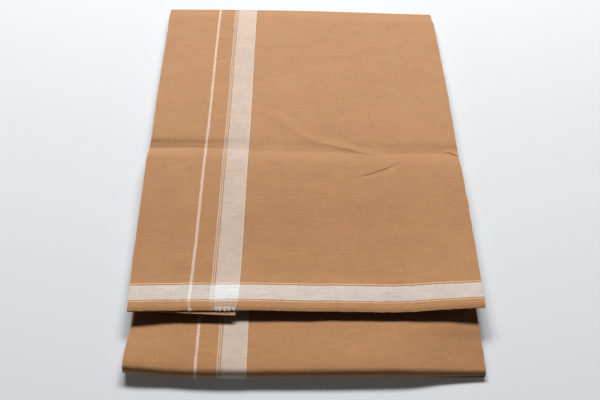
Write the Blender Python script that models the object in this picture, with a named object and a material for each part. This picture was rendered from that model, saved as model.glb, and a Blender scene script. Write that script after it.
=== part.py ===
"""Folded cotton dhoti: one 4.0 m x 1.27 m cloth folded flat to about 0.5 m x 0.32 m.

How the cloth is folded.  Widthwise it is doubled, then its bordered selvedge side
is turned over on the left and the other side is folded under on the right, so
every layer is four plies.  Lengthwise it is folded in half three times, which
makes eight layers: four in the upper packet and four in the lower one, joined
by the back fold.  The outermost ply starts at the cut end on top, runs back
over the back fold, forward along the underside, round the front fold and back
over the top of the lower packet.

Frame: origin at the bottom centre, X to the right, Y to the back, Z up.
The sizes below are in millimetres; MM turns them into metres.
"""

import math

import bmesh
import bpy

MM = 0.001

# ---- driving sizes ----------------------------------------------------------
WALL = 1.0          # thickness of one visible wall of cloth
SEAM = 0.3          # air between two pieces that touch
INNER_SEAM = 0.4    # air between a wall and the hidden plies
PROUD = 0.4         # how far the turned-over strip stands above the main ply
HOOK = 2.4          # how far a side fold reaches down from the face
FOLD_ROUND = 1.2    # radius of the side folds
BACK_EDGE_DEPTH = 10.6   # height of the back fold at its left end
BACK_EDGE_LOSS = 1.6     # how much lower it is at its right end
LEG_END = -182.5    # where the lower packet's top wall stops, under the flap
CORE_STEP = -181.8  # front face of the upper packet's hidden plies
FRONT_CORNER_LIFT = 3.2  # the front left corner stands this far off the surface
PAGES = 6           # hidden layers that show as ridges along the sides

# ---- tables -----------------------------------------------------------------
# The flap's two side folds, the selvedge line on it and its height at mid width.
FLAP = [
    dict(y=-191, left=-159.3, right=160.4, selvedge=-60.8, top=18.6),
    dict(y=-150, left=-160.5, right=161.1, selvedge=-59.5, top=18.1),
    dict(y=-100, left=-161.1, right=161.8, selvedge=-58.4, top=17.9),
    dict(y=-50, left=-161.3, right=161.8, selvedge=-57.7, top=17.8),
    dict(y=-8, left=-161.8, right=161.0, selvedge=-57.0, top=17.5),
    dict(y=20, left=-160.0, right=160.6, selvedge=-56.4, top=17.1),
    dict(y=60, left=-160.0, right=161.1, selvedge=-55.5, top=16.9),
    dict(y=110, left=-160.0, right=161.0, selvedge=-55.0, top=16.1),
    dict(y=160, left=-159.6, right=160.8, selvedge=-54.6, top=15.0),
    dict(y=200, left=-159.4, right=160.6, selvedge=-54.1, top=13.7),
    dict(y=230, left=-159.6, right=160.2, selvedge=-53.7, top=12.2),
    dict(y=245, left=-159.6, right=160.0, selvedge=-53.5, top=10.6),
]
# The same lines on the lower packet's top, and on the underside.
LOWER = [
    dict(y=-250, left=-157.8, right=153.6, selvedge=-51.6),
    dict(y=-235, left=-158.4, right=154.2, selvedge=-51.5),
    dict(y=-215, left=-157.6, right=154.3, selvedge=-51.2),
    dict(y=-198, left=-155.6, right=154.4, selvedge=-51.0),
    dict(y=-180, left=-154.6, right=154.5, selvedge=-50.9),
]
UNDER = [
    dict(y=-250, left=-157.8, right=153.6, selvedge=-51.6),
    dict(y=0, left=-158.8, right=157.0, selvedge=-52.6),
    dict(y=245, left=-159.6, right=160.0, selvedge=-53.5),
]
# Lines that run across the packet: the flap's cut end with the lift of its front
# edge, the front of the lip, the two lengthwise folds, the lower packet's height
# and the pressed crease halfway along the flap.
ACROSS = [
    dict(x=-162, cut=-189.6, lift=0.9, lip=-189.0, front=-244.6, back=249.9, low=9.4, crease=9.5),
    dict(x=-130, cut=-189.4, lift=0.5, lip=-190.0, front=-247.6, back=249.5, low=11.0, crease=9.0),
    dict(x=-95, cut=-189.4, lift=0.2, lip=-192.4, front=-249.2, back=249.1, low=12.0, crease=8.2),
    dict(x=-55, cut=-189.4, lift=0.1, lip=-194.2, front=-249.8, back=248.5, low=12.4, crease=6.5),
    dict(x=0, cut=-191.0, lift=0.0, lip=-194.2, front=-250.0, back=247.1, low=12.6, crease=3.5),
    dict(x=45, cut=-191.7, lift=-0.3, lip=-194.2, front=-250.1, back=245.1, low=12.6, crease=1.5),
    dict(x=85, cut=-192.5, lift=-0.6, lip=-194.2, front=-250.1, back=242.9, low=12.4, crease=0.0),
    dict(x=120, cut=-190.8, lift=0.4, lip=-194.2, front=-249.9, back=240.8, low=11.2, crease=-1.0),
    dict(x=146, cut=-190.0, lift=1.6, lip=-194.2, front=-249.5, back=239.3, low=9.9, crease=-1.6),
    dict(x=162, cut=-189.3, lift=2.2, lip=-194.2, front=-249.2, back=238.5, low=9.0, crease=-2.0),
]
CREASE_DEPTH = 0.8
CREASE_REACH = 7.0


# ---- reading the tables -----------------------------------------------------
def read(rows, key, column, at):
    """Smooth value of one column at a place along the key column."""
    if at <= rows[0][key]:
        return rows[0][column]
    if at >= rows[-1][key]:
        return rows[-1][column]
    i = max(k for k in range(len(rows) - 1) if rows[k][key] <= at)

    def slope(k):
        a, b = rows[max(k - 1, 0)], rows[min(k + 1, len(rows) - 1)]
        return (b[column] - a[column]) / (b[key] - a[key])

    a, b = rows[i], rows[i + 1]
    span = b[key] - a[key]
    t = (at - a[key]) / span
    return (
        (2 * t**3 - 3 * t**2 + 1) * a[column]
        + (t**3 - 2 * t**2 + t) * span * slope(i)
        + (3 * t**2 - 2 * t**3) * b[column]
        + (t**3 - t**2) * span * slope(i + 1)
    )


def ease(t):
    t = min(max(t, 0.0), 1.0)
    return t * t * (3 - 2 * t)


def line(column):
    return lambda x: read(ACROSS, "x", column, x)


cut_line, lip_line, front_line, back_line, crease_line = (
    line("cut"), line("lip"), line("front"), line("back"), line("crease"))


def corner_lift(x, y):
    """The front left corner curls up off the surface."""
    return FRONT_CORNER_LIFT * ease((-110 - x) / 48) * ease((-205 - y) / 38)


def low_height(x):
    """Thickness of the lower packet."""
    return read(ACROSS, "x", "low", x)


def low_top(x, y):
    return low_height(x) + corner_lift(x, y)


def back_height(x):
    return BACK_EDGE_DEPTH - BACK_EDGE_LOSS * ease((x + 160) / 320)


def back_centre(x):
    return back_line(x) - back_height(x) / 2


def front_radius(x):
    return low_height(x) / 2


def front_centre(x):
    return front_line(x) + front_radius(x)


def flap_top(x, y):
    """Height of the flap: level, lower at the back fold, creased halfway along."""
    near_back = ease((y - 90) / 140)
    shifted = y + (back_centre(-160) - back_centre(x)) * near_back
    z = read(FLAP, "y", "top", min(shifted, 245))
    z -= BACK_EDGE_LOSS * ease((x + 160) / 320) * near_back
    z += read(ACROSS, "x", "lift", x) * ease((-105 - y) / 85)
    z -= CREASE_DEPTH * max(0.0, 1 - abs(y - crease_line(x)) / CREASE_REACH)
    return z - 0.5 * (abs(x) / 161) ** 8


# ---- places along the outer ply ---------------------------------------------
# Each station gives, for a place x across the cloth, a point (y, z) of the outer
# surface and the outward direction there.
def top_station(place):
    return lambda x: (place(x), flap_top(x, place(x)), 0.0, 1.0)


def back_station(turn):
    def at(x):
        a, r = math.radians(turn), back_height(x) / 2
        return (back_centre(x) + r * math.sin(a), r + r * math.cos(a), math.sin(a), math.cos(a))
    return at


def under_station(place):
    return lambda x: (place(x), corner_lift(x, place(x)), 0.0, -1.0)


def front_station(turn):
    def at(x):
        a, r, y = math.radians(turn), front_radius(x), front_centre(x)
        z = corner_lift(x, y) + r
        return (y - r * math.sin(a), z - r * math.cos(a), -math.sin(a), -math.cos(a))
    return at


def low_station(place):
    return lambda x: (place(x), low_top(x, place(x)), 0.0, 1.0)


def offset(fn, by):
    return lambda x: fn(x) + by


def fixed(y):
    return lambda x: y


def between(a, b, t):
    return lambda x: a(x) + (b(x) - a(x)) * t


FLAP_PLACES = (
    [offset(cut_line, d) for d in (0, 9, 28)]
    + [fixed(y) for y in (-135, -105, -75, -45)]
    + [offset(crease_line, d) for d in (-24, -7, 0, 7, 24)]
    + [fixed(y) for y in (55, 85, 115, 145, 175)]
    + [offset(back_centre, d) for d in (-48, -28, -13, -4, 0)]
)
BACK_TURNS = (30, 60, 90, 120, 150, 180)
FRONT_TURNS = (30, 60, 90, 120, 150, 180)
LOW_SHARES = (0.1, 0.3, 0.6, 0.85, 1)
UNDER_PLACES = (
    [offset(back_centre, -SEAM), fixed(150), fixed(50), fixed(-60)]
    + [between(front_centre, fixed(CORE_STEP - SEAM), t) for t in LOW_SHARES[::-1]]
    + [front_centre]
)

# For every station: the row that gives its edges, how proud the strip stands,
# and whether the second ply lies under it (1) or not (0).
flap_path = [(top_station(p), FLAP, PROUD, 1.0) for p in FLAP_PLACES]
flap_path += [
    (back_station(a), FLAP, PROUD * (1 - a / 180), 1 - a / 180) for a in BACK_TURNS]
under_path = [(under_station(p), UNDER, 0.0, 0.0) for p in UNDER_PLACES]
front_path = [
    (front_station(a), LOWER, PROUD * a / 180, 0.0) for a in FRONT_TURNS]
low_path = [
    (low_station(between(front_centre, fixed(LEG_END), t)), LOWER, PROUD, 0.0)
    for t in LOW_SHARES]


def edges(station, rows):
    y = station(0.0)[0]
    return (read(rows, "y", "left", y), read(rows, "y", "right", y),
            read(rows, "y", "selvedge", y))


def spread(a, b, n):
    """n places from a to b, both ends included."""
    return [a + (b - a) * i / (n - 1) for i in range(n)]


# ---- cross-sections: outer and inner (x, depth) lines, left to right ----------
def main_depth(proud, second):
    """Depth of the main ply under the turned-over strip."""
    return WALL - proud + SEAM + second * (WALL + SEAM)


def main_places(left, right, selvedge):
    """Places across the main ply where its section has a corner."""
    return ([left + WALL + SEAM, left + 8] + spread(left + 30, selvedge - 30, 2)
            + [selvedge - 2, selvedge + 0.35, selvedge + 1.6]
            + spread(selvedge + 22, right - 24, 5)
            + [right - 8, right - FOLD_ROUND])


def main_section(left, right, selvedge, proud, second):
    xs = main_places(left, right, selvedge)
    deep = main_depth(proud, second)
    near = WALL - proud + SEAM
    depth = [deep if x <= selvedge - 2 else near if x < selvedge + 1 else 0.0 for x in xs]
    outer = list(zip(xs, depth))
    inner = [(x, d + WALL) for x, d in outer[:-1]] + [(right - WALL - 0.3, WALL)]
    outer += [(right - 0.35, 0.35), (right, FOLD_ROUND), (right, HOOK)]
    inner += [(right - WALL - 0.08, WALL + 0.08), (right - WALL, WALL + 0.4),
              (right - WALL, HOOK)]
    return outer, inner


def strip_section(left, right, selvedge, proud, second):
    xs = [left + FOLD_ROUND, left + 8] + spread(left + 30, selvedge - 30, 2) + [
        selvedge - 8, selvedge]
    outer = [(left, HOOK), (left, FOLD_ROUND - proud), (left + 0.35, 0.35 - proud)]
    inner = [(left + WALL, HOOK), (left + WALL, WALL + 0.4 - proud),
             (left + WALL + 0.08, WALL + 0.08 - proud)]
    outer += [(x, -proud) for x in xs]
    inner += [(left + WALL + 0.3, WALL - proud)] + [(x, WALL - proud) for x in xs[1:]]
    return outer, inner


def lip_section(left, right, selvedge, proud, second):
    top = WALL - proud + SEAM
    xs = [left + WALL + SEAM, left + 8] + spread(left + 30, selvedge - 30, 2) + [selvedge - 2]
    return [(x, top) for x in xs], [(x, top + WALL) for x in xs]


# ---- meshes -----------------------------------------------------------------
def place(station, x, depth):
    y, z, ny, nz = station(x)
    return (x * MM, (y - depth * ny) * MM, (z - depth * nz) * MM)


def new_object(name, bm, colour, roughness):
    bmesh.ops.recalc_face_normals(bm, faces=bm.faces)
    bmesh.ops.triangulate(bm, faces=[f for f in bm.faces if len(f.verts) > 4])
    mesh = bpy.data.meshes.new(name)
    bm.to_mesh(mesh)
    bm.free()
    mesh.shade_smooth()
    mesh.set_sharp_from_angle(angle=math.radians(40))
    thing = bpy.data.objects.new(name, mesh)
    bpy.context.scene.collection.objects.link(thing)
    material = bpy.data.materials.new(name + "_cotton")
    material.use_nodes = True
    shader = material.node_tree.nodes["Principled BSDF"]
    shader.inputs["Base Color"].default_value = (*colour, 1)
    shader.inputs["Roughness"].default_value = roughness
    shader.inputs["Metallic"].default_value = 0.0
    mesh.materials.append(material)
    thing.parent = packet
    return thing


def quad(bm, a, b, c, d):
    """Two triangles split along a-c, so that neighbours' facets run side by side."""
    bm.faces.new((a, b, c))
    bm.faces.new((a, c, d))


def wall(name, path, section, colour, roughness=0.9):
    """A wall of cloth: the section carried along the path, closed at both ends."""
    bm = bmesh.new()
    outer_rows, inner_rows = [], []
    for station, rows, proud, second in path:
        outer, inner = section(*edges(station, rows), proud, second)
        outer_rows.append([bm.verts.new(place(station, x, d)) for x, d in outer])
        inner_rows.append([bm.verts.new(place(station, x, d)) for x, d in inner])
    n = len(outer_rows[0])
    for k in range(len(path) - 1):
        a, b, c, d = outer_rows[k], outer_rows[k + 1], inner_rows[k], inner_rows[k + 1]
        for i in range(n - 1):
            quad(bm, a[i], a[i + 1], b[i + 1], b[i])
            quad(bm, d[i + 1], c[i + 1], c[i], d[i])
        quad(bm, a[0], b[0], d[0], c[0])
        quad(bm, b[-1], a[-1], c[-1], d[-1])
    for k, turn in ((0, 1), (-1, -1)):
        for i in range(n - 1):
            corners = (outer_rows[k][i], inner_rows[k][i],
                       inner_rows[k][i + 1], outer_rows[k][i + 1])
            quad(bm, *corners[::turn])
    return new_object(name, bm, colour, roughness)


def ridges(bottom, top, valley, crest, side, swell):
    """Points up one side of the hidden plies: a rounded ridge for each layer."""
    points = []
    for i in range(PAGES):
        z0 = bottom + (top - bottom) * i / PAGES
        h = (top - bottom) / PAGES
        reach = (valley - crest) * (0.75 + 0.25 * math.sin(2.3 * i + 1.1 * side)) * swell
        points += [(side * valley, z0), (side * (valley - reach), z0 + 0.25 * h),
                   (side * (valley - reach), z0 + 0.75 * h)]
    return points + [(side * valley, top)]


def core_ring(lower, upper, rows_low, rows_high, proud, second, swell):
    """One loop round the hidden plies, between a station below and one above."""
    low_edges, high_edges = edges(lower, rows_low), edges(upper, rows_high)
    under = main_section(*low_edges, 0.0, 0.0)[1][:-3]
    over = main_section(*high_edges, proud, second)[1][:-3]
    bottom = [place(lower, x, d + INNER_SEAM) for x, d in under]
    top = [place(upper, x, d + INNER_SEAM) for x, d in over]

    def side(sign, low_edge, high_edge, low_x, high_x, low_depth, high_depth):
        lo, hi = place(lower, low_x, low_depth), place(upper, high_x, high_depth)
        points = []
        for inset, z in ridges(lo[2], hi[2], 1.6 * MM, 0.3 * MM, sign, swell):
            t = (z - lo[2]) / (hi[2] - lo[2])
            edge = (low_edge + (high_edge - low_edge) * t) * MM
            points.append((edge - inset, lo[1] + (hi[1] - lo[1]) * t, z))
        return points

    deep = HOOK + INNER_SEAM + 0.1
    right = side(1, low_edges[1], high_edges[1], under[-1][0], over[-1][0], deep, deep)
    left = side(-1, low_edges[0], high_edges[0], under[0][0], over[0][0], deep,
                max(deep, over[0][1] + INNER_SEAM + 0.1))
    return bottom + right + top[::-1] + left[::-1]


def hidden_plies(name, colour, roughness=0.9):
    rings = []

    def under_at(upper):
        y = lambda x: min(max(upper(x)[0], front_centre(x)), back_centre(x) - SEAM)
        return under_station(y)

    for a, swell in ((105, 0.0), (145, 0.0)):
        rings.append(core_ring(front_station(180 - a), front_station(a), LOWER, LOWER,
                               PROUD, 0.0, swell))
    for t in (0,) + LOW_SHARES:
        upper = low_station(between(front_centre, fixed(CORE_STEP - SEAM), t))
        rings.append(core_ring(under_at(upper), upper, UNDER, LOWER, PROUD, 0.0, 1.0))
    for p in [fixed(CORE_STEP)] + FLAP_PLACES[2:]:
        upper = top_station(p)
        rings.append(core_ring(under_at(upper), upper, UNDER, FLAP, PROUD, 1.0, 1.0))
    for a in (30, 60):
        rings.append(core_ring(back_station(180 - a), back_station(a), FLAP, FLAP,
                               PROUD * (1 - a / 180), 1 - a / 180, 0.0))
    bm = bmesh.new()
    loops = [[bm.verts.new(p) for p in ring] for ring in rings]
    n = len(loops[0])
    half = n // 2
    for a, b in zip(loops, loops[1:]):
        for i in range(n):
            j = (i + 1) % n
            if i >= half:
                quad(bm, a[j], b[j], b[i], a[i])
            else:
                quad(bm, a[i], a[j], b[j], b[i])
    bm.faces.new(loops[0][::-1])
    bm.faces.new(loops[-1])
    return new_object(name, bm, colour, roughness)


# ---- the part ---------------------------------------------------------------
for old in list(bpy.data.objects):
    bpy.data.objects.remove(old, do_unlink=True)

packet = bpy.data.objects.new("folded_dhoti", None)
bpy.context.scene.collection.objects.link(packet)

OCHRE = (0.50, 0.27, 0.125)
OCHRE_SHADE = (0.43, 0.225, 0.10)
BORDER = (0.62, 0.44, 0.32)

wall("flap_main", flap_path, main_section, OCHRE)
wall("flap_turnover", flap_path, strip_section, BORDER)

# The lip is the strip's second ply. Its cut end comes out past the flap's.
lip_path = [(top_station(lip_line), FLAP, PROUD, 1.0)] + flap_path[1:len(FLAP_PLACES)]
wall("second_ply_lip", lip_path, lip_section, OCHRE_SHADE)

lower_path = under_path + front_path + low_path
wall("lower_wrap", lower_path, main_section, OCHRE)
wall("lower_turnover", lower_path, strip_section, BORDER)
hidden_plies("hidden_plies", OCHRE_SHADE)
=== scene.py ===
import math

import bpy
import numpy as np
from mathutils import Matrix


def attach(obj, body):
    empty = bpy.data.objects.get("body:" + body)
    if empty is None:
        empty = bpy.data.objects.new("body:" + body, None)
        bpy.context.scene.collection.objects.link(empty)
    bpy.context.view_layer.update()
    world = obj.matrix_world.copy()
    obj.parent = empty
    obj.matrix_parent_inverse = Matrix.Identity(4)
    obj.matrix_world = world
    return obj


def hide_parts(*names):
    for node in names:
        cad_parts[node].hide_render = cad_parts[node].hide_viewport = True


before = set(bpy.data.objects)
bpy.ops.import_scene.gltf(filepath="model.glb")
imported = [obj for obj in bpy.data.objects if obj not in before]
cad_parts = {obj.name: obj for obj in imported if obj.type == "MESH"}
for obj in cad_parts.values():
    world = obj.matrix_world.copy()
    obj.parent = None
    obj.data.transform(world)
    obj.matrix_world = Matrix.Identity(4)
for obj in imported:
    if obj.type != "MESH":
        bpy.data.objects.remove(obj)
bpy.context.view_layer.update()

MM = 0.001

# =============================================================================
# The folded packet, in millimetres. The tables are the part's own: the flap's and
# the lower packet's side folds and selvedge line, and the lines across.
# =============================================================================
FLAP = [
    dict(y=-191, left=-159.3, right=160.4, selvedge=-60.8, top=18.6),
    dict(y=-150, left=-160.5, right=161.1, selvedge=-59.5, top=18.1),
    dict(y=-100, left=-161.1, right=161.8, selvedge=-58.4, top=17.9),
    dict(y=-50, left=-161.3, right=161.8, selvedge=-57.7, top=17.8),
    dict(y=-8, left=-161.8, right=161.0, selvedge=-57.0, top=17.5),
    dict(y=20, left=-160.0, right=160.6, selvedge=-56.4, top=17.1),
    dict(y=60, left=-160.0, right=161.1, selvedge=-55.5, top=16.9),
    dict(y=110, left=-160.0, right=161.0, selvedge=-55.0, top=16.1),
    dict(y=160, left=-159.6, right=160.8, selvedge=-54.6, top=15.0),
    dict(y=200, left=-159.4, right=160.6, selvedge=-54.1, top=13.7),
    dict(y=230, left=-159.6, right=160.2, selvedge=-53.7, top=12.2),
    dict(y=245, left=-159.6, right=160.0, selvedge=-53.5, top=10.6),
]
LOWER = [
    dict(y=-250, left=-157.8, right=153.6, selvedge=-51.6),
    dict(y=-235, left=-158.4, right=154.2, selvedge=-51.5),
    dict(y=-215, left=-157.6, right=154.3, selvedge=-51.2),
    dict(y=-198, left=-155.6, right=154.4, selvedge=-51.0),
    dict(y=-180, left=-154.6, right=154.5, selvedge=-50.9),
]
UNDER = [
    dict(y=-250, left=-157.8, right=153.6, selvedge=-51.6),
    dict(y=0, left=-158.8, right=157.0, selvedge=-52.6),
    dict(y=245, left=-159.6, right=160.0, selvedge=-53.5),
]
ACROSS = [
    dict(x=-162, cut=-189.6, lift=0.9, lip=-189.0, front=-244.6, back=249.9, low=9.4, crease=9.5),
    dict(x=-130, cut=-189.4, lift=0.5, lip=-190.0, front=-247.6, back=249.5, low=11.0, crease=9.0),
    dict(x=-95, cut=-189.4, lift=0.2, lip=-192.4, front=-249.2, back=249.1, low=12.0, crease=8.2),
    dict(x=-55, cut=-189.4, lift=0.1, lip=-194.2, front=-249.8, back=248.5, low=12.4, crease=6.5),
    dict(x=0, cut=-191.0, lift=0.0, lip=-194.2, front=-250.0, back=247.1, low=12.6, crease=3.5),
    dict(x=45, cut=-191.7, lift=-0.3, lip=-194.2, front=-250.1, back=245.1, low=12.6, crease=1.5),
    dict(x=85, cut=-192.5, lift=-0.6, lip=-194.2, front=-250.1, back=242.9, low=12.4, crease=0.0),
    dict(x=120, cut=-190.8, lift=0.4, lip=-194.2, front=-249.9, back=240.8, low=11.2, crease=-1.0),
    dict(x=146, cut=-190.0, lift=1.6, lip=-194.2, front=-249.5, back=239.3, low=9.9, crease=-1.6),
    dict(x=162, cut=-189.3, lift=2.2, lip=-194.2, front=-249.2, back=238.5, low=9.0, crease=-2.0),
]
BACK_EDGE_DEPTH = 10.6
BACK_EDGE_LOSS = 1.6
FRONT_CORNER_LIFT = 3.2
CREASE_DEPTH = 0.8
CREASE_REACH = 7.0
LEG_END = -182.5

# Sizes that only the fine model needs.
PLY = 0.36            # one visible ply of cotton
LAYER = 1.5           # four plies folded over each other
STEP_UP = 0.42        # the turned-over strip stands this much above the main ply
EYE = np.array([-9.05, -583.2, 655.1])   # where the packet is looked at from

# The pressed crease across the flap: how steeply the cloth falls to it from behind,
# the small step just behind it, the long slope behind that, the rise before it and
# how round the bottom is.
CREASE = [
    dict(x=-162, far=0.225, step=0.36, tail=0.022, near=0.64, reach=14, soft=0.4),
    dict(x=-140, far=0.225, step=0.34, tail=0.022, near=0.6, reach=14, soft=0.4),
    dict(x=-120, far=0.205, step=0.32, tail=0.022, near=0.54, reach=15, soft=0.5),
    dict(x=-100, far=0.18, step=0.18, tail=0.018, near=0.42, reach=16, soft=0.8),
    dict(x=-75, far=0.1, step=0.05, tail=0.02, near=0.31, reach=18, soft=1.4),
    dict(x=-42, far=0.045, step=0.0, tail=0.012, near=0.235, reach=20, soft=2.2),
    dict(x=-21, far=0.04, step=0.0, tail=0.008, near=0.235, reach=20, soft=2.5),
    dict(x=0, far=0.04, step=0.0, tail=0.004, near=0.22, reach=20, soft=2.5),
    dict(x=25, far=0.035, step=0.0, tail=0.004, near=0.21, reach=20, soft=2.2),
    dict(x=60, far=0.05, step=0.0, tail=0.008, near=0.18, reach=22, soft=1.6),
    dict(x=90, far=0.085, step=0.0, tail=0.015, near=0.19, reach=24, soft=1.0),
    dict(x=115, far=0.115, step=0.0, tail=0.018, near=0.21, reach=24, soft=0.8),
    dict(x=135, far=0.13, step=0.02, tail=0.02, near=0.22, reach=24, soft=0.7),
    dict(x=162, far=0.16, step=0.12, tail=0.025, near=0.25, reach=24, soft=0.6),
]
# Single wrinkles. Each is a crest line through points x, y with its height there,
# its reach behind the crest and before it.
RIDGE = [
    dict(x=-44, y=64.0, high=0.0, behind=6.5, before=7.5),
    dict(x=-21, y=46.0, high=0.7, behind=6.5, before=7.5),
    dict(x=2, y=24.4, high=1.24, behind=6.4, before=7.2),
    dict(x=23, y=14.7, high=1.28, behind=6.0, before=5.8),
    dict(x=44, y=7.6, high=1.36, behind=5.0, before=3.9),
    dict(x=57, y=2.9, high=1.2, behind=4.4, before=2.8),
    dict(x=69, y=-0.2, high=0.8, behind=3.6, before=1.9),
    dict(x=79, y=-2.2, high=0.0, behind=3.0, before=1.4),
]
GROOVE = [
    dict(x=-58, y=77.0, high=0.0, behind=4.0, before=4.0),
    dict(x=-40, y=70.0, high=0.40, behind=4.0, before=4.0),
    dict(x=-21, y=60.7, high=0.44, behind=4.0, before=4.0),
    dict(x=-4, y=45.4, high=0.40, behind=4.0, before=4.0),
    dict(x=10, y=34.0, high=0.0, behind=4.0, before=4.0),
]
HOLLOW = [
    dict(x=26, y=22.0, high=0.0, behind=3.4, before=3.0),
    dict(x=44, y=16.0, high=0.28, behind=3.4, before=3.0),
    dict(x=57, y=10.4, high=0.30, behind=3.2, before=2.8),
    dict(x=69, y=7.0, high=0.22, behind=3.0, before=2.6),
    dict(x=84, y=3.6, high=0.0, behind=3.0, before=2.6),
]
TUCK = [
    dict(x=47, y=-34.6, high=0.0, behind=0.9, before=4.0),
    dict(x=57, y=-32.8, high=0.32, behind=0.9, before=4.0),
    dict(x=68, y=-29.8, high=0.74, behind=0.8, before=4.0),
    dict(x=78, y=-25.7, high=0.86, behind=0.75, before=4.0),
    dict(x=88, y=-20.6, high=0.76, behind=0.75, before=4.0),
    dict(x=97, y=-15.6, high=0.38, behind=0.9, before=4.0),
    dict(x=107, y=-10.8, high=0.0, behind=1.0, before=4.0),
]
EDGE_TUCK = [
    dict(x=145, y=1.8, high=0.0, behind=2.6, before=1.0),
    dict(x=149, y=1.0, high=0.5, behind=2.6, before=1.0),
    dict(x=153, y=-0.3, high=1.05, behind=2.6, before=1.0),
    dict(x=156.5, y=-1.8, high=1.4, behind=2.8, before=1.0),
    dict(x=160, y=-3.6, high=1.5, behind=2.8, before=1.1),
    dict(x=165, y=-6.2, high=1.5, behind=3.0, before=1.2),
]


# ---- reading the tables -----------------------------------------------------
prepared = {}


def read(rows, key, column, at):
    """A column of a table at some places: a smooth curve through its rows, kept as a
    fine list of values so that it is quick to read."""
    name = (id(rows), key, column)
    if name not in prepared:
        k = np.array([r[key] for r in rows], float)
        v = np.array([r[column] for r in rows], float)
        n = len(k)
        m = np.array([(v[min(j + 1, n - 1)] - v[max(j - 1, 0)])
                      / (k[min(j + 1, n - 1)] - k[max(j - 1, 0)]) for j in range(n)])
        p = np.linspace(k[0], k[-1], 2 + int(8 * (k[-1] - k[0])))
        i = np.clip(np.searchsorted(k, p, side="right") - 1, 0, n - 2)
        h = k[i + 1] - k[i]
        t = (p - k[i]) / h
        prepared[name] = p, ((2 * t**3 - 3 * t**2 + 1) * v[i] + (t**3 - 2 * t**2 + t) * h * m[i]
                             + (3 * t**2 - 2 * t**3) * v[i + 1] + (t**3 - t**2) * h * m[i + 1])
    p, v = prepared[name]
    return np.interp(at, p, v)


def ease(t):
    t = np.minimum(np.maximum(t, 0.0), 1.0)
    return t * t * (3 - 2 * t)


def cut_line(x):
    return read(ACROSS, "x", "cut", x)


def crease_line(x):
    return read(ACROSS, "x", "crease", x)


def corner_lift(x, y):
    return FRONT_CORNER_LIFT * ease((-110 - x) / 48) * ease((-205 - y) / 38)


def low_height(x):
    return read(ACROSS, "x", "low", x)


def back_height(x):
    return BACK_EDGE_DEPTH - BACK_EDGE_LOSS * ease((x + 160) / 320)


def back_centre(x):
    return read(ACROSS, "x", "back", x) - back_height(x) / 2


def front_centre(x):
    return read(ACROSS, "x", "front", x) + low_height(x) / 2 + 0.4 + 0.6 * ease((-88 - x) / 50) - 0.4 * ease((x - 60) / 70)


def flap_top(x, y):
    """The height of the part's own flap, crease and all."""
    near_back = ease((y - 90) / 140)
    shifted = y + (back_centre(-160.0) - back_centre(x)) * near_back
    z = read(FLAP, "y", "top", np.minimum(shifted, 245))
    z = z - BACK_EDGE_LOSS * ease((x + 160) / 320) * near_back
    z = z + read(ACROSS, "x", "lift", x) * ease((-105 - y) / 85)
    z = z - CREASE_DEPTH * np.maximum(0.0, 1 - np.abs(y - crease_line(x)) / CREASE_REACH)
    return z - 0.5 * (np.abs(x) / 161) ** 8


def waves(x, y, seed, count, shortest, longest, along=1.0):
    """A gentle unevenness: a few crossing waves, between about -1 and 1."""
    name = (seed, count, shortest, longest, along)
    if name not in prepared:
        r = np.random.default_rng(seed)
        made = []
        for _ in range(count):
            length = shortest * (longest / shortest) ** r.random()
            turn = r.uniform(0, math.pi)
            made.append((2 * math.pi / length * math.cos(turn) * along,
                         2 * math.pi / length * math.sin(turn), r.uniform(0, 2 * math.pi)))
        prepared[name] = made
    total = np.zeros(np.broadcast(x, y).shape)
    for kx, ky, phase in prepared[name]:
        total = total + np.sin(kx * x + ky * y + phase)
    return total / math.sqrt(count)


def wobble(y, seed, shortest, longest, count=6):
    return waves(np.zeros_like(y), y, seed, count, shortest, longest)


# ---- the relief of the flap -------------------------------------------------
def rise(t, full, end):
    """Climb of a slope of 1 that holds to full and fades out at end."""
    t = np.maximum(t, 0.0)
    s = np.clip((t - full) / (end - full), 0, 1)
    return np.minimum(t, full) + (end - full) * (s - s**3 + s**4 / 2)


def wrinkle(rows, x, y):
    """A wrinkle's height: a crest that falls away behind it and before it."""
    line = read(rows, "x", "y", x)
    high = read(rows, "x", "high", x) * ((x > rows[0]["x"]) & (x < rows[-1]["x"]))
    slope = (read(rows, "x", "y", x + 1) - read(rows, "x", "y", x - 1)) / 2
    e = (y - line) / np.sqrt(1 + slope**2)
    behind, before = read(rows, "x", "behind", x), read(rows, "x", "before", x)
    w = np.where(e > 0, behind, before)
    t = np.abs(e) / w
    return np.maximum(high, 0) * np.exp(-(t**1.6))


def swell(x, y, cx, cy, rx, ry, high):
    return high * np.exp(-((x - cx) / rx) ** 2 - ((y - cy) / ry) ** 2)


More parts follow.
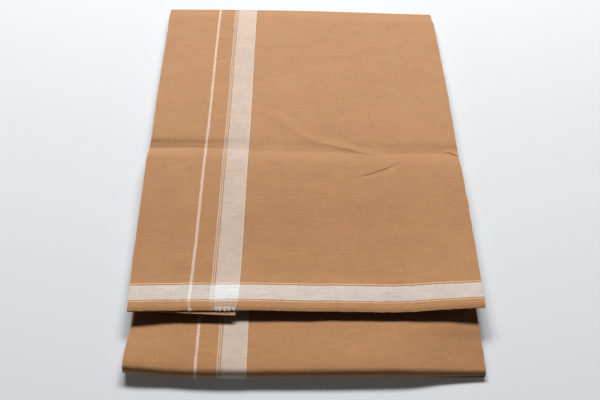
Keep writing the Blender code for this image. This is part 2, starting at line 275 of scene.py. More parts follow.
def relief(x, y):
    """How far the fine flap stands above the part's flap, in millimetres."""
    d = y - crease_line(x)
    far = read(CREASE, "x", "far", x)
    step = read(CREASE, "x", "step", x)
    tail = read(CREASE, "x", "tail", x)
    near = read(CREASE, "x", "near", x)
    reach = read(CREASE, "x", "reach", x)
    d = d - 0.85
    up_far = (far * rise(d, 9.0, 20.0) + step * ease((d - 5.4) / 7.4) + tail * rise(d - 6, 10.0, 44.0))
    all_far = far * 14.5 + step + tail * 27.0
    soft = read(CREASE, "x", "soft", x)
    up_near = near * rise(np.sqrt(d * d + soft * soft) - soft, 3.0, reach)
    all_near = near * (3.0 + reach) / 2
    surplus = (all_near - all_far) * (0.45 * ease((-d - 13) / 62) + 0.55 * ease((-d - 24) / 110))
    z = np.where(d >= 0, up_far - all_far, -all_far + up_near - surplus)
    # the part's own crease is a shallow one: it makes room for this one
    z = z + CREASE_DEPTH * np.maximum(0.0, 1 - np.abs(d + 0.85) / CREASE_REACH)
    # the flap is highest just behind the crease and falls a little toward the back
    z = z - 0.7 * ease((y - 2) / 42) * np.clip((236 - y) / 196, 0, 1)
    # and dips softly in the middle of the far half
    z = z - 2.0 * ease((y - 24) / 96) * (1 - ease((y - 128) / 92))
    # the near half sags between the crease and the striped end
    z = z - (2.9 - 1.9 * ease((x - 50) / 70)) * ease((-34 - y) / 95) * (1 - ease((-148 - y) / 36))
    z = z + wrinkle(RIDGE, x, y) + wrinkle(EDGE_TUCK, x, y)
    # the tuck is a narrow trough
    z = z - wrinkle(TUCK, x, y) - wrinkle(GROOVE, x, y) - wrinkle(HOLLOW, x, y)
    # soft swells: before the striped end, at the back right, and some long low ones
    z = z + swell(x, y, -60, -178, 55, 20, 0.7) + swell(x, y, 150, -175, 40, 20, 0.4)
    z = z + (0.6 * ease((y - 186) / 26) - 1.6 * ease((y - 219) / 12)) * ease((x - 20) / 60) * ease((250 - y) / 20)
    # the right front corner springs up
    z = z + 1.8 * ease((x - 62) / 72) * ease((-90 - y) / 96) + 0.8 * ease((-100 - x) / 40) * ease((-138 - y) / 48)
    z = z + swell(x, y, 150, -28, 30, 22, 0.5) - swell(x, y, 60, 90, 60, 30, 0.3)
    z = z + 0.16 * waves(x, y, 11, 8, 45, 120) + 0.035 * waves(x, y, 5, 10, 9, 24, 0.5)
    # the striped end sinks toward the lower packet and its very edge is thicker
    v = y - cut_line(x)
    z = z - 1.3 * (1 - 0.85 * ease((x - 80) / 60)) * ease((36 - v) / 40)
    z = z + 0.55 * np.exp(-((v - 4.4) / 3.4) ** 2) - 0.25 * ease((2.6 - v) / 2.6)
    # small ripples near the crease, as a pressed fold leaves
    near_crease = np.exp(-((d - 6) / 26) ** 2)
    z = z + 0.07 * near_crease * waves(x, y, 21, 8, 8, 20, 0.25)
    to_back = y - back_centre(x)
    z = z * (1 - ease((to_back + 14) / 14))
    # the cloth swells a little before it turns over the back
    return z + 0.50 * (ease((to_back + 27) / 14) - ease((to_back + 12) / 12))


def lower_relief(x, y):
    """The same for the top of the lower packet."""
    # the front fold stands up and the flap presses the packet down behind it
    right = ease((x - 70) / 66)
    left = ease((-88 - x) / 50)
    hollow = ease((y + 246 - 22 * left) / (56 - 28 * left))
    z = 0.4 - 2.6 * right - 2.8 * (1 - right) * hollow + 2.0 * right * ease((y + 246) / 46)
    z = z + 1.2 * right * ease((y + 217) / 15)
    # it rounds off early toward the front
    start = front_centre(x) + 4.0 + 1.6 * left + 2.6 * right
    z = z - (0.45 + 1.05 * left + 0.15 * right) * ease((start - y) / (13.0 + 1.5 * left))
    z = z + 0.12 * waves(x, y, 31, 8, 30, 90) + 0.03 * waves(x, y, 35, 8, 8, 20)
    return z


def under_relief(x, y):
    """The underside: flat where it rests, with a few pressed-in creases."""
    d = y - (6.0 + 0.02 * x)
    z = 0.55 * np.exp(-(np.abs(d) / 3.2) ** 1.4)
    z = z + 0.4 * np.exp(-(np.abs(y - 118 + 0.25 * x) / 2.4) ** 1.5) * ease((x + 20) / 60) * ease((130 - x) / 30)
    z = z + 0.35 * np.exp(-(np.abs(y + 96 - 0.4 * x) / 2.2) ** 1.5) * ease((x + 130) / 30) * ease((20 - x) / 40)
    z = z + 0.10 * np.maximum(waves(x, y, 41, 8, 25, 90), 0)
    inside = ease((150 - np.abs(x)) / 20)
    return z * inside


def toward_eye(P, lift):
    """Moves points along the line of sight until they stand lift higher."""
    t = (EYE[2] - (P[..., 2] + lift)) / (EYE[2] - P[..., 2])
    return EYE + (P - EYE) * t[..., None]


# ---- the outer ply's path ---------------------------------------------------
# A row is a kind of place and a function of x. surface() gives, for rows and places
# across, points of the nominal surface and its outward direction in y and z.
def top_rows(ys):
    return [("top", f) for f in ys]


def surface(kind, at, x):
    zero = np.zeros_like(x)
    if kind == "top":
        y = at(x)
        p = toward_eye(np.stack([x, y, flap_top(x, y)], -1), relief(x, y))
        return p, zero, zero + 1
    if kind == "back":
        a, r = math.radians(at), back_height(x) / 2
        p = np.stack([x, back_centre(x) + r * math.sin(a), r + r * math.cos(a)], -1)
        return p, zero + math.sin(a), zero + math.cos(a)
    if kind == "under":
        y = at(x)
        return np.stack([x, y, corner_lift(x, y) + under_relief(x, y)], -1), zero, zero - 1
    if kind == "front":
        a, r, y = math.radians(at), low_height(x) / 2, front_centre(x)
        z = corner_lift(x, y) + r
        edge = ease((at - 60) / 45) * lower_relief(x, y - r * math.sin(a))
        p = np.stack([x, y - r * math.sin(a), z - r * math.cos(a)], -1)
        return toward_eye(p, edge), zero - math.sin(a), zero - math.cos(a)
    y = at(x)
    p = np.stack([x, y, low_height(x) + corner_lift(x, y)], -1)
    return toward_eye(p, lower_relief(x, y)), zero, zero + 1


def fixed(y):
    return lambda x: y + 0 * x


def offset(fn, by):
    return lambda x: fn(x) + by


def between(a, b, t):
    return lambda x: a(x) + (b(x) - a(x)) * t


def steps(a, b, size):
    """Places from a to b about size apart, with b left out."""
    n = max(1, int(round(abs(b - a) / size)))
    return [a + (b - a) * i / n for i in range(n)]


def rough_cut(x):
    """The cut end: nearly straight, a little uneven from thread to thread."""
    return cut_line(x) + 0.14 * wobble(x, 51, 2.5, 9, 8) + 0.16 * wobble(x, 52, 14, 50)


fine = 0.85

flap_ys = [offset(rough_cut, 0.0)] + [
    between(rough_cut, offset(cut_line, 12.0), t) for t in (0.08, 0.2, 0.35, 0.5, 0.65, 0.8)]
flap_ys += [offset(cut_line, d) for d in steps(12, 40, 2.4)]
lead = offset(cut_line, 40)
to_crease = offset(crease_line, -52)
flap_ys += [between(lead, to_crease, t / 34) for t in range(34)]
flap_ys += [offset(crease_line, d) for d in steps(-52, 84, fine)]
after = offset(crease_line, 84)
flap_ys += [between(after, back_centre, t / 50) for t in range(50)]
flap_rows = [("top", f) for f in flap_ys] + [("back", a) for a in np.linspace(0, 180, 21)]
# The seam with the lower wrap lies under the packet.

under_ys = [offset(back_centre, -0.3)] + [between(back_centre, front_centre, t / 120)
                                          for t in range(1, 120)]
low_start, low_stop = front_centre, fixed(LEG_END)
lower_rows = ([("under", f) for f in under_ys] + [("front", a) for a in np.linspace(0, 180, 31)]
              + [("low", between(low_start, low_stop, t / 52)) for t in range(1, 53)])

EDGE_ROWS = {"top": FLAP, "back": FLAP, "under": UNDER, "front": LOWER, "low": LOWER}


def edge_lines(kind, y, seed):
    """Left fold, right fold and selvedge at y, with the small unevenness of folds."""
    rows = EDGE_ROWS[kind]
    small = 0.2 * wobble(y, seed + 1, 14, 60)
    other = 0.2 * wobble(y, seed + 2, 14, 60)
    third = 0.12 * wobble(y, seed + 3, 10, 50)
    left, right = read(rows, "y", "left", y), read(rows, "y", "right", y)
    if kind in ("top", "back"):
        # the corner at the back right is nipped in
        right = right - 1.9 * ease((y - 214) / 22) * (kind == "top") - 1.9 * (kind == "back")
    return left + small, right + other, read(rows, "y", "selvedge", y) + third


def row_at(kind, at, x):
    if kind in ("back", "front"):
        p, _, _ = surface(kind, at, x)
        return p[..., 1]
    return at(x)


def lay(rows, shape, seed, inner_offset=0.0):
    """Carries a cross-section along the rows.

    shape(left, right, selvedge, kind, y) gives arrays of x, depth, and the inward
    direction in x and depth, for one row. Returns the points, the inward directions and
    the length run along the nominal surface at each point."""
    P, D, X, RUN = [], [], [], []
    last = None
    for kind, at in rows:
        x = None
        for _ in range(3):
            if x is None:
                y = row_at(kind, at, np.array([0.0]))
                left, right, sel = (np.full(1, float(e[0])) for e in edge_lines(kind, y, seed))
                x, depth, nx, nd = shape(left, right, sel, kind, at, np.zeros(1))
            else:
                y = row_at(kind, at, x)
                left, right, sel = edge_lines(kind, y, seed)
                x, depth, nx, nd = shape(left, right, sel, kind, at, y)
        p, ny, nz = surface(kind, at, x)
        n = np.stack([np.zeros_like(ny), ny, nz], -1)
        P.append(p - depth[:, None] * n)
        D.append(nx[:, None] * np.array([1.0, 0, 0]) - nd[:, None] * n)
        X.append(x)
        # the run is read on the part's own surface, so that the stripes lie as woven
        flat = p.copy()
        if kind == "top":
            flat = np.stack([x, at(x), flap_top(x, at(x))], -1)
        elif kind == "low":
            flat = np.stack([x, at(x), low_height(x) + corner_lift(x, at(x))], -1)
        RUN.append(np.zeros_like(x) if last is None else
                   RUN[-1] + np.linalg.norm((flat - last)[:, 1:], axis=1))
        last = flat
    return np.array(P), np.array(D), np.array(X), np.array(RUN)


# ---- cross-sections ---------------------------------------------------------
def is_outer(kind):
    return 1.0 if kind in ("top", "low") else 0.0


def proud_of(kind, at):
    if kind in ("top", "low"):
        return STEP_UP
    if kind == "under":
        return 0.0
    return STEP_UP * (1 - at / 180) if kind == "back" else STEP_UP * at / 180


def full(x, v):
    return np.zeros_like(x) + v


def main_shape(columns, second):
    """The main ply: under the strip at the left, open at the right, round the right
    fold and a little way back under itself."""
    under = np.array([0.0, 0.08, 0.25, 0.5, 0.75, 0.93])
    step_x = np.array([-3.2, -1.8, -0.9, -0.2, 0.5, 1.2, 2.2])
    turns = np.radians(np.linspace(0, 180, 11)[1:])
    back_run = np.array([2.0, 5.0, 9.0])

    def shape(left, right, sel, kind, at, y):
        n = len(left)
        total = len(under) + len(step_x) + columns + 1 + len(turns) + len(back_run)
        if n == 1:
            left, right, sel = (np.full(total, e[0]) for e in (left, right, sel))
        proud = proud_of(kind, at) if kind in ("back", "front") else proud_of(kind, 0)
        deep = PLY + 0.06 - proud + second(kind, at) * (PLY + 0.06)
        r = LAYER / 2 + 0.12 * np.sin(y / 23.0) + 0.08 * np.sin(y / 9.1 + 1)
        if n == 1:
            r = np.full(total, r[0])
        x, depth, nx, nd = (np.zeros(total) for _ in range(4))
        a = 0
        s = slice(a, a + len(under))
        x[s] = left[s] + 1.3 + (sel[s] - 3.2 - left[s] - 1.3) * under
        depth[s], nd[s] = deep, 1
        a += len(under)
        s = slice(a, a + len(step_x))
        x[s] = sel[s] + step_x
        depth[s] = deep * (1 - ease((step_x + 1.4) / 2.4))
        nd[s] = 1
        a += len(step_x)
        s = slice(a, a + columns + 1)
        t = np.linspace(0, 1, columns + 2)[1:]
        x[s] = sel[s] + 2.2 + (right[s] - r[s] - sel[s] - 2.2) * t
        nd[s] = 1
        a += columns + 1
        s = slice(a, a + len(turns))
        x[s] = right[s] - r[s] + r[s] * np.sin(turns)
        depth[s] = r[s] - r[s] * np.cos(turns)
        nx[s], nd[s] = -np.sin(turns), np.cos(turns)
        a += len(turns)
        s = slice(a, a + len(back_run))
        x[s] = right[s] - r[s] - back_run
        depth[s] = 2 * r[s]
        nd[s] = -1
        return x, depth, nx, nd

    return shape


def strip_shape(columns, pull):
    """The turned-over strip: from under the left fold round it and over to the
    selvedge, which is a free edge."""
    back_run = np.array([9.0, 5.0, 2.0])
    turns = np.radians(np.linspace(180, 0, 11)[:-1])

    def shape(left, right, sel, kind, at, y):
        n = len(left)
        total = len(back_run) + len(turns) + columns
        if n == 1:
            left, right, sel = (np.full(total, e[0]) for e in (left, right, sel))
        proud = proud_of(kind, at) if kind in ("back", "front") else proud_of(kind, 0)
        sel = sel - pull(kind, at, y)
        r = (LAYER + proud) / 2 + 0.12 * np.sin(y / 19.0 + 2) + 0.07 * np.sin(y / 8.3)
        if n == 1:
            r = np.full(total, r[0])
        x, depth, nx, nd = (np.zeros(total) for _ in range(4))
        a = 0
        s = slice(a, a + len(back_run))
        x[s] = left[s] + r[s] + back_run
        depth[s] = 2 * r[s] - proud
        nd[s] = -1
        a += len(back_run)
        s = slice(a, a + len(turns))
        x[s] = left[s] + r[s] - r[s] * np.sin(turns)
        depth[s] = r[s] - r[s] * np.cos(turns) - proud
        nx[s], nd[s] = np.sin(turns), np.cos(turns)
        a += len(turns)
        s = slice(a, a + columns)
        t = np.linspace(0, 1, columns)
        x[s] = left[s] + r[s] + (sel[s] - left[s] - r[s]) * t
        # the selvedge settles onto the main ply
        gap = sel[s] - x[s]
        depth[s] = -proud + 0.10 * np.exp(-gap / 1.5)
        nd[s] = 1
        return x, depth, nx, nd

    return shape


# ---- meshes -----------------------------------------------------------------
def make_mesh(name, verts, faces, attributes, material, uvs=None):
    mesh = bpy.data.meshes.new(name)
    mesh.from_pydata((np.asarray(verts) * MM).tolist(), [], faces)
    mesh.update()
    for key, values in attributes.items():
        a = mesh.attributes.new(key, "FLOAT_VECTOR", "POINT")
        a.data.foreach_set("vector", np.asarray(values, np.float32).ravel())
    if uvs is not None:
        layer = mesh.uv_layers.new(name="OFBake")
        layer.data.foreach_set("uv", np.asarray(uvs, np.float32).ravel())
    mesh.shade_smooth()
    mesh.set_sharp_from_angle(angle=math.radians(50))
    mesh.materials.append(material)
    thing = bpy.data.objects.new(name, mesh)
    bpy.context.scene.collection.objects.link(thing)
    return thing


def pick(n, every, keep):
    """Indices 0 to n - 1, one in every, with those in keep and both ends."""
    return sorted(set(range(0, n, every)) | {i for i in keep if 0 <= i < n} | {0, n - 1})


def shell(name, P, D, U, V, rows_in, cols_in, material, thick=PLY, row_room=None):
    """A thin closed sheet: the outer grid P, an inner grid thick inside it at the
    chosen rows and columns, and a rim that joins them."""
    R, C = P.shape[:2]
    outer_id = np.arange(R * C).reshape(R, C)
    ri, ci = np.array(rows_in), np.array(cols_in)
    T = thick if np.isscalar(thick) else thick[np.ix_(ri, ci)][..., None]
    Pin = P[np.ix_(ri, ci)] + D[np.ix_(ri, ci)] * T
    inner_id = R * C + np.arange(len(ri) * len(ci)).reshape(len(ri), len(ci))
    verts = np.concatenate([P.reshape(-1, 3), Pin.reshape(-1, 3)])
    cloth = np.concatenate([np.stack([U, V, 0 * U], -1).reshape(-1, 3),
                            np.stack([U, V, 0 * U + 1], -1)[np.ix_(ri, ci)].reshape(-1, 3)])
    # the texture map: most of it for the outer face, a narrow part for the inner
    cu = np.concatenate([[0], np.cumsum(np.linalg.norm(np.diff(P[R // 3], axis=0), axis=1) + 1e-6)])
    rv = np.concatenate([[0], np.cumsum(np.linalg.norm(np.diff(P[:, C // 2], axis=0), axis=1) + 1e-6)])
    if row_room is not None:
        rv = np.concatenate([[0], np.cumsum(np.diff(rv) * row_room[1:])])
    cu, rv = cu / cu[-1], rv / rv[-1]
    su, sv = np.meshgrid(0.012 + 0.90 * cu, 0.012 + 0.976 * rv)
    tu, tv = np.meshgrid(0.94 + 0.05 * cu[ci], 0.012 + 0.976 * rv[ri])
    uv_of = np.concatenate([np.stack([su, sv], -1).reshape(-1, 2),
                            np.stack([tu, tv], -1).reshape(-1, 2)])
    faces, uvs = [], []
    a, b, c, d = outer_id[:-1, :-1], outer_id[:-1, 1:], outer_id[1:, 1:], outer_id[1:, :-1]
    f = np.stack([a, b, c, d], -1).reshape(-1, 4)
    faces += f.tolist()
    uvs.append(uv_of[f].reshape(-1, 2))
    a, b, c, d = inner_id[:-1, :-1], inner_id[1:, :-1], inner_id[1:, 1:], inner_id[:-1, 1:]
    f = np.stack([a, b, c, d], -1).reshape(-1, 4)
    faces += f.tolist()
    uvs.append(uv_of[f].reshape(-1, 2))

    push = 0.006

    def rim(outer_line, picked, inner_line, flip, away):
        for k in range(len(picked) - 1):
            o = list(outer_line[picked[k]:picked[k + 1] + 1])
            i0, i1 = inner_line[k], inner_line[k + 1]
            face = o + [i1, i0]
            uv = [uv_of[j] for j in o] + [uv_of[o[-1]] + away, uv_of[o[0]] + away]
            if flip:
                face, uv = face[::-1], uv[::-1]
            faces.append([int(j) for j in face])
            uvs.append(np.array(uv))

    rim(outer_id[0], ci, inner_id[0], True, np.array([0, -push]))
    rim(outer_id[-1], ci, inner_id[-1], False, np.array([0, push]))
    rim(outer_id[:, 0], ri, inner_id[:, 0], False, np.array([-push, 0]))
    rim(outer_id[:, -1], ri, inner_id[:, -1], True, np.array([push, 0]))
    thing = make_mesh(name, verts, faces, {"cloth": cloth}, material, np.concatenate(uvs))
    return thing


# =============================================================================
# Materials
# =============================================================================
class Graph:
    """A short way to write a node tree."""

    def __init__(self, name):
        self.material = bpy.data.materials.new(name)
        self.material.use_nodes = True
        self.tree = self.material.node_tree
        self.shader = self.tree.nodes["Principled BSDF"]

    def node(self, kind, **settings):
        n = self.tree.nodes.new(kind)
        for k, v in settings.items():
            setattr(n, k, v)
        return n

    def put(self, socket, value):
        if isinstance(value, bpy.types.NodeSocket):
            self.tree.links.new(value, socket)
        elif value is not None:
            socket.default_value = value

    def math(self, op, a, b=None, c=None, clamp=False):
        n = self.node("ShaderNodeMath", operation=op, use_clamp=clamp)
        for i, v in enumerate((a, b, c)):
            self.put(n.inputs[i], v)
        return n.outputs[0]

    def add(self, a, b):
        return self.math("ADD", a, b)

    def sub(self, a, b):
        return self.math("SUBTRACT", a, b)

    def mul(self, a, b):
        return self.math("MULTIPLY", a, b)

    def smooth(self, value, a, b, low=0.0, high=1.0):
        n = self.node("ShaderNodeMapRange", interpolation_type="SMOOTHSTEP")
        self.put(n.inputs["Value"], value)
        for key, v in (("From Min", a), ("From Max", b), ("To Min", low), ("To Max", high)):
            self.put(n.inputs[key], v)
        return n.outputs["Result"]

    def box(self, value, a, b, soft):
        """1 between a and b, 0 outside, with soft edges."""
        up = self.smooth(value, a - soft, a + soft)
        down = self.smooth(value, b - soft, b + soft)
        return self.sub(up, down)

    def mix(self, t, a, b):
        n = self.node("ShaderNodeMix", data_type="RGBA")
        self.put(n.inputs["Factor"], t)
        self.put(n.inputs["A"], a)
        self.put(n.inputs["B"], b)
        for s in (n.inputs["A"], n.inputs["B"]):
            pass
        return n.outputs["Result"]

    def blend(self, t, a, b, mode="MIX"):
        n = self.node("ShaderNodeMix", data_type="RGBA", blend_type=mode)
        sockets = [s for s in n.inputs if s.type == "RGBA"]
        factor = [s for s in n.inputs if s.type == "VALUE"][0]
        self.put(factor, t)
        self.put(sockets[0], a)
        self.put(sockets[1], b)
        return [s for s in n.outputs if s.type == "RGBA"][0]

    def vector(self, x, y, z=0.0):
        n = self.node("ShaderNodeCombineXYZ")
        for i, v in enumerate((x, y, z)):
            self.put(n.inputs[i], v)
        return n.outputs[0]

    def noise(self, vector, scale=1.0, detail=2.0, rough=0.5, distortion=0.0):
        n = self.node("ShaderNodeTexNoise", noise_dimensions="3D")
        self.put(n.inputs["Vector"], vector)
        n.inputs["Scale"].default_value = scale
        n.inputs["Detail"].default_value = detail
        n.inputs["Roughness"].default_value = rough
        n.inputs["Distortion"].default_value = distortion
        return n.outputs[0]


BROWN = (0.452, 0.217, 0.081, 1)
BROWN_DEEP = (0.410, 0.190, 0.067, 1)
WHITE = (0.765, 0.80, 0.79, 1)
PEACH = (0.80, 0.67, 0.60, 1)
CREAM = (0.86, 0.66, 0.50, 1)
PITCH = 0.46        # spacing of the threads
WARP_SHARE = 0.40   # how much of the face the warp threads cover


def cotton(name, striped=True, ended=True, shade=1.0, tip=0.5):
    """Plain-woven cotton: ochre warp and weft, white warp stripes along the selvedge
    and a white weft band across the cut end. It reads the cloth's own coordinates: the
    distance from the selvedge and from the cut end, in millimetres."""
    g = Graph(name)
    at = g.node("ShaderNodeAttribute", attribute_name="cloth")
    part = g.node("ShaderNodeSeparateXYZ")
    g.put(part.inputs[0], at.outputs["Vector"])
    u, v = part.outputs[0], part.outputs[1]

    # threads wander a little
    drift = g.noise(g.vector(g.mul(u, 0.05), g.mul(v, 0.02)), 1.0, 2.0)
    uu = g.add(u, g.mul(g.sub(drift, 0.5), 0.5))
    vv = g.add(v, g.mul(g.sub(g.noise(g.vector(g.mul(u, 0.018), g.mul(v, 0.04), 7.0), 1.0, 2.0), 0.5), 0.9))

    # ---- the plain weave
    pu, pv = g.mul(u, math.pi / PITCH), g.mul(vv, math.pi / PITCH)
    check = g.mul(g.math("SINE", pu), g.math("SINE", pv))           # sign: warp or weft on top
    over = g.smooth(check, -0.35, 0.35)                              # 1 where the warp is on top
    round_u = g.math("ABSOLUTE", g.math("SINE", pu))
    round_v = g.math("ABSOLUTE", g.math("SINE", pv))

    # ---- thick and thin places in the yarn: short streaks along the weft and the warp
    weft_yarn = g.noise(g.vector(g.mul(u, 0.030), g.mul(vv, 1.15), 3.0), 1.0, 2.0, 0.6)
    warp_yarn = g.noise(g.vector(g.mul(u, 1.15), g.mul(v, 0.034), 9.0), 1.0, 2.0, 0.6)
    slub = g.noise(g.vector(g.mul(u, 0.042), g.mul(vv, 0.85), 21.0), 1.0, 1.0, 0.5)
    slub_high = g.smooth(slub, 0.64, 0.74)
    slub_low = g.smooth(slub, 0.36, 0.27)
    warp_slub = g.noise(g.vector(g.mul(u, 0.8), g.mul(v, 0.055), 31.0), 1.0, 1.0, 0.5)
    warp_high = g.smooth(warp_slub, 0.66, 0.76)
    warp_low = g.smooth(warp_slub, 0.33, 0.25)
    cloud = g.noise(g.vector(g.mul(u, 0.011), g.mul(v, 0.011), 5.0), 1.0, 3.0, 0.55)
    # places where the beat of the loom was closer or looser
    weft_beat = g.noise(g.vector(g.mul(u, 0.07), g.mul(vv, 0.42), 41.0), 1.0, 2.0, 0.6)
    warp_beat = g.noise(g.vector(g.mul(u, 0.40), g.mul(v, 0.06), 47.0), 1.0, 2.0, 0.6)
    patch = g.noise(g.vector(g.mul(u, 0.045), g.mul(v, 0.06), 53.0), 1.0, 2.0, 0.6)

    # ---- stripes
    # shade below 1 gives a darker copy of the same cotton: painted shade for plies that lie under others
    deep = (*[c * shade for c in BROWN_DEEP[:3]], 1)
    brown = (*[c * shade for c in BROWN[:3]], 1)
    warp_colour, weft_colour = deep, brown
    cover = WARP_SHARE
    if striped:
        body = g.box(uu, -3.0, 22.2, 0.16)
        pins = g.add(g.box(uu, 23.25, 24.15, 0.2), g.box(uu, 25.05, 26.0, 0.2))
        thin = g.box(uu, 43.2, 45.8, 0.2)
        edge = g.box(uu, -3.0, 0.9, 0.15)
        lines = g.math("MINIMUM", g.add(g.add(body, pins), thin), 1.0)
        if ended:
            # at the very end the white yarns are beaten down and fray
            worn = g.add(g.smooth(v, 8.6, 9.8, 0.36, 1.0), g.smooth(v, 4.4, 2.4, 0.0, tip))
            lines = g.mul(lines, worn)
        warp_colour = g.blend(lines, deep, g.blend(thin, WHITE, PEACH))
        cover = g.add(WARP_SHARE, g.add(g.mul(thin, 0.16), g.mul(edge, 0.14)))
    if ended:
        band = g.box(vv, 11.6, 27.2, 0.16)
        rims = g.add(g.box(vv, 11.6, 12.4, 0.12), g.box(vv, 26.4, 27.2, 0.12))
        fine_lines = g.add(g.box(vv, 9.5, 10.3, 0.12), g.box(vv, 28.75, 29.6, 0.12))
        weft_colour = g.blend(band, brown, WHITE)
        weft_colour = g.blend(g.mul(rims, 0.45), weft_colour, CREAM)
        weft_colour = g.blend(g.mul(fine_lines, 0.85), weft_colour, CREAM)
        cover = g.sub(cover, g.add(g.mul(rims, 0.16), g.mul(fine_lines, 0.10)))
    if ended:
        cover = g.add(cover, g.mul(band, 0.035))
    check_depth = g.sub(0.34, g.mul(band, 0.10)) if ended else 0.34
    top = g.math("ADD", cover, g.mul(g.sub(over, 0.5), check_depth), clamp=True)
    colour = g.blend(top, weft_colour, warp_colour)

    # ---- lightness from the yarn, which varies at random, and painted shade in the hollows between threads
    light = g.add(1.0, g.mul(g.sub(weft_yarn, 0.5), 0.25))
    light = g.add(light, g.mul(g.sub(warp_yarn, 0.5), 0.15))
    light = g.add(light, g.mul(g.sub(slub_high, slub_low), 0.17))
    light = g.add(light, g.mul(g.sub(warp_high, warp_low), 0.12))
    light = g.add(light, g.mul(g.sub(cloud, 0.5), 0.15))
    light = g.add(light, g.mul(g.sub(weft_beat, 0.5), 0.22))
    light = g.add(light, g.mul(g.sub(warp_beat, 0.5), 0.15))
    light = g.add(light, g.mul(g.sub(patch, 0.5), 0.18))
    # painted shade: the hollows between the threads are darkened
    hollow = g.mul(g.sub(1.0, round_u), g.sub(1.0, round_v))
    light = g.sub(light, g.mul(g.sub(hollow, 0.13), 0.30))
    # a few dark specks of seed in the cotton
    cell = g.node("ShaderNodeTexVoronoi", voronoi_dimensions="2D", feature="F1")
    g.put(cell.inputs["Vector"], g.vector(u, v))
    cell.inputs["Scale"].default_value = 1 / 24.0
    apart = g.node("ShaderNodeSeparateXYZ")
    g.put(apart.inputs[0], cell.outputs["Color"])
    speck = g.mul(g.smooth(cell.outputs["Distance"], 0.028, 0.012), g.smooth(apart.outputs[0], 0.50, 0.95))
    light = g.sub(light, g.mul(speck, 0.50))
    tint = g.node("ShaderNodeVectorMath", operation="SCALE")
    g.put(tint.inputs[0], colour)
    g.put(tint.inputs["Scale"], light)
    # the fold between ochre and red in the dye varies slowly
    warm = g.noise(g.vector(g.mul(u, 0.02), g.mul(v, 0.028), 15.0), 1.0, 2.0, 0.5)
    hue = g.node("ShaderNodeHueSaturation")
    g.put(hue.inputs["Color"], tint.outputs[0])
    g.put(hue.inputs["Hue"], g.add(0.5, g.mul(g.sub(warm, 0.5), 0.012)))
    g.put(g.shader.inputs["Base Color"], hue.outputs[0])

    # ---- surface
    g.put(g.shader.inputs["Roughness"], g.add(0.50, g.mul(weft_yarn, 0.10)))
    height = g.add(g.mul(over, g.add(0.35, g.mul(round_u, 0.65))),
                   g.mul(g.sub(1.0, over), g.add(0.35, g.mul(round_v, 0.65))))
    height = g.add(height, g.mul(weft_yarn, 0.9))
    height = g.add(height, g.mul(warp_yarn, 0.5))
    height = g.add(height, g.mul(slub_high, 0.5))
    bump = g.node("ShaderNodeBump")
    bump.inputs["Strength"].default_value = 0.35
    bump.inputs["Distance"].default_value = 0.00012
    g.put(bump.inputs["Height"], height)
    g.put(g.shader.inputs["Normal"], bump.outputs[0])
    g.shader.inputs["Specular IOR Level"].default_value = 0.04
    g.shader.inputs["Sheen Weight"].default_value = 0.76
    g.shader.inputs["Sheen Roughness"].default_value = 0.55
    g.shader.inputs["Sheen Tint"].default_value = (1.0, 1.0, 1.0, 1)
    g.shader.inputs["Metallic"].default_value = 0.0
    return g.material


def yarn(name, colour):
    """Loose thread: fuzzy, with darker and lighter places."""
    g = Graph(name)
    at = g.node("ShaderNodeAttribute", attribute_name="cloth")
    n = g.noise(at.outputs["Vector"], 0.9, 3.0, 0.6)
    dark = (*[c * 0.82 for c in colour[:3]], 1)
    g.put(g.shader.inputs["Base Color"], g.blend(g.smooth(n, 0.3, 0.7), dark, colour))
    bump = g.node("ShaderNodeBump")
    bump.inputs["Strength"].default_value = 0.4
    bump.inputs["Distance"].default_value = 0.00006
    g.put(bump.inputs["Height"], g.noise(at.outputs["Vector"], 4.0, 2.0))
    g.put(g.shader.inputs["Normal"], bump.outputs[0])
    g.shader.inputs["Roughness"].default_value = 0.9
    g.shader.inputs["Specular IOR Level"].default_value = 0.2
    g.shader.inputs["Sheen Weight"].default_value = 0.15
    return g.material


flap_cotton = cotton("ochre_cotton_flap", striped=False)
strip_cotton = cotton("striped_cotton_flap")
lower_cotton = cotton("ochre_cotton_lower", striped=False, ended=False)
lower_strip_cotton = cotton("striped_cotton_lower", ended=False)
# the second ply and the inner layers are darker copies: painted shade, as they lie under other plies
second_cotton = cotton("striped_cotton_second", shade=0.97, tip=-0.15)
inner_cotton = cotton("ochre_cotton_inner", ended=False, shade=0.94)
# the loose white yarn is lighter than the band's white: painted light on threads that lie in their own shade
white_yarn = yarn("white_yarn", (0.92, 0.82, 0.73, 1))
brown_yarn = yarn("brown_yarn", (0.46, 0.24, 0.11, 1))

# =============================================================================
# The visible stretches of cloth
# =============================================================================
def no_second(kind, at):
    return 0.0


def flap_second(kind, at):
    return 1.0 - at / 180 if kind == "back" else 1.0


def no_pull(kind, at, y):
    return np.zeros_like(y)


def end_pull(kind, at, y):
    """The selvedge's corner draws in over the last few millimetres."""
    if kind != "top":
        return np.zeros_like(y)
    t = np.clip(1 - (y - cut_line(-60.0)) / 9.0, 0, 1)
    return 3.0 * t**2


def warp_place(X, Y, left, sel, pull):
    """Distance from the selvedge along the strip. Near the cut end the white yarns
    are drawn together."""
    U = np.zeros_like(X)
    for i in range(X.shape[0]):
        t = pull[i] / 3.0
        gap = sel[i] - pull[i] - X[i]
        squeeze = 26.2 - 7.4 * t
        # piecewise: selvedge, end of the pins, the thin line, the fold
        a = gap * 26.2 / squeeze
        g2 = squeeze
        g3 = 44.5 - pull[i] - 2.2 * t
        b = 26.2 + (gap - g2) * (44.5 - 26.2) / (g3 - g2)
        c = gap + pull[i] + 2.2 * t * np.clip(1 - (gap - g3) / 40, 0, 1)
        U[i] = np.where(gap < g2, a, np.where(gap < g3, b, c))
    return U


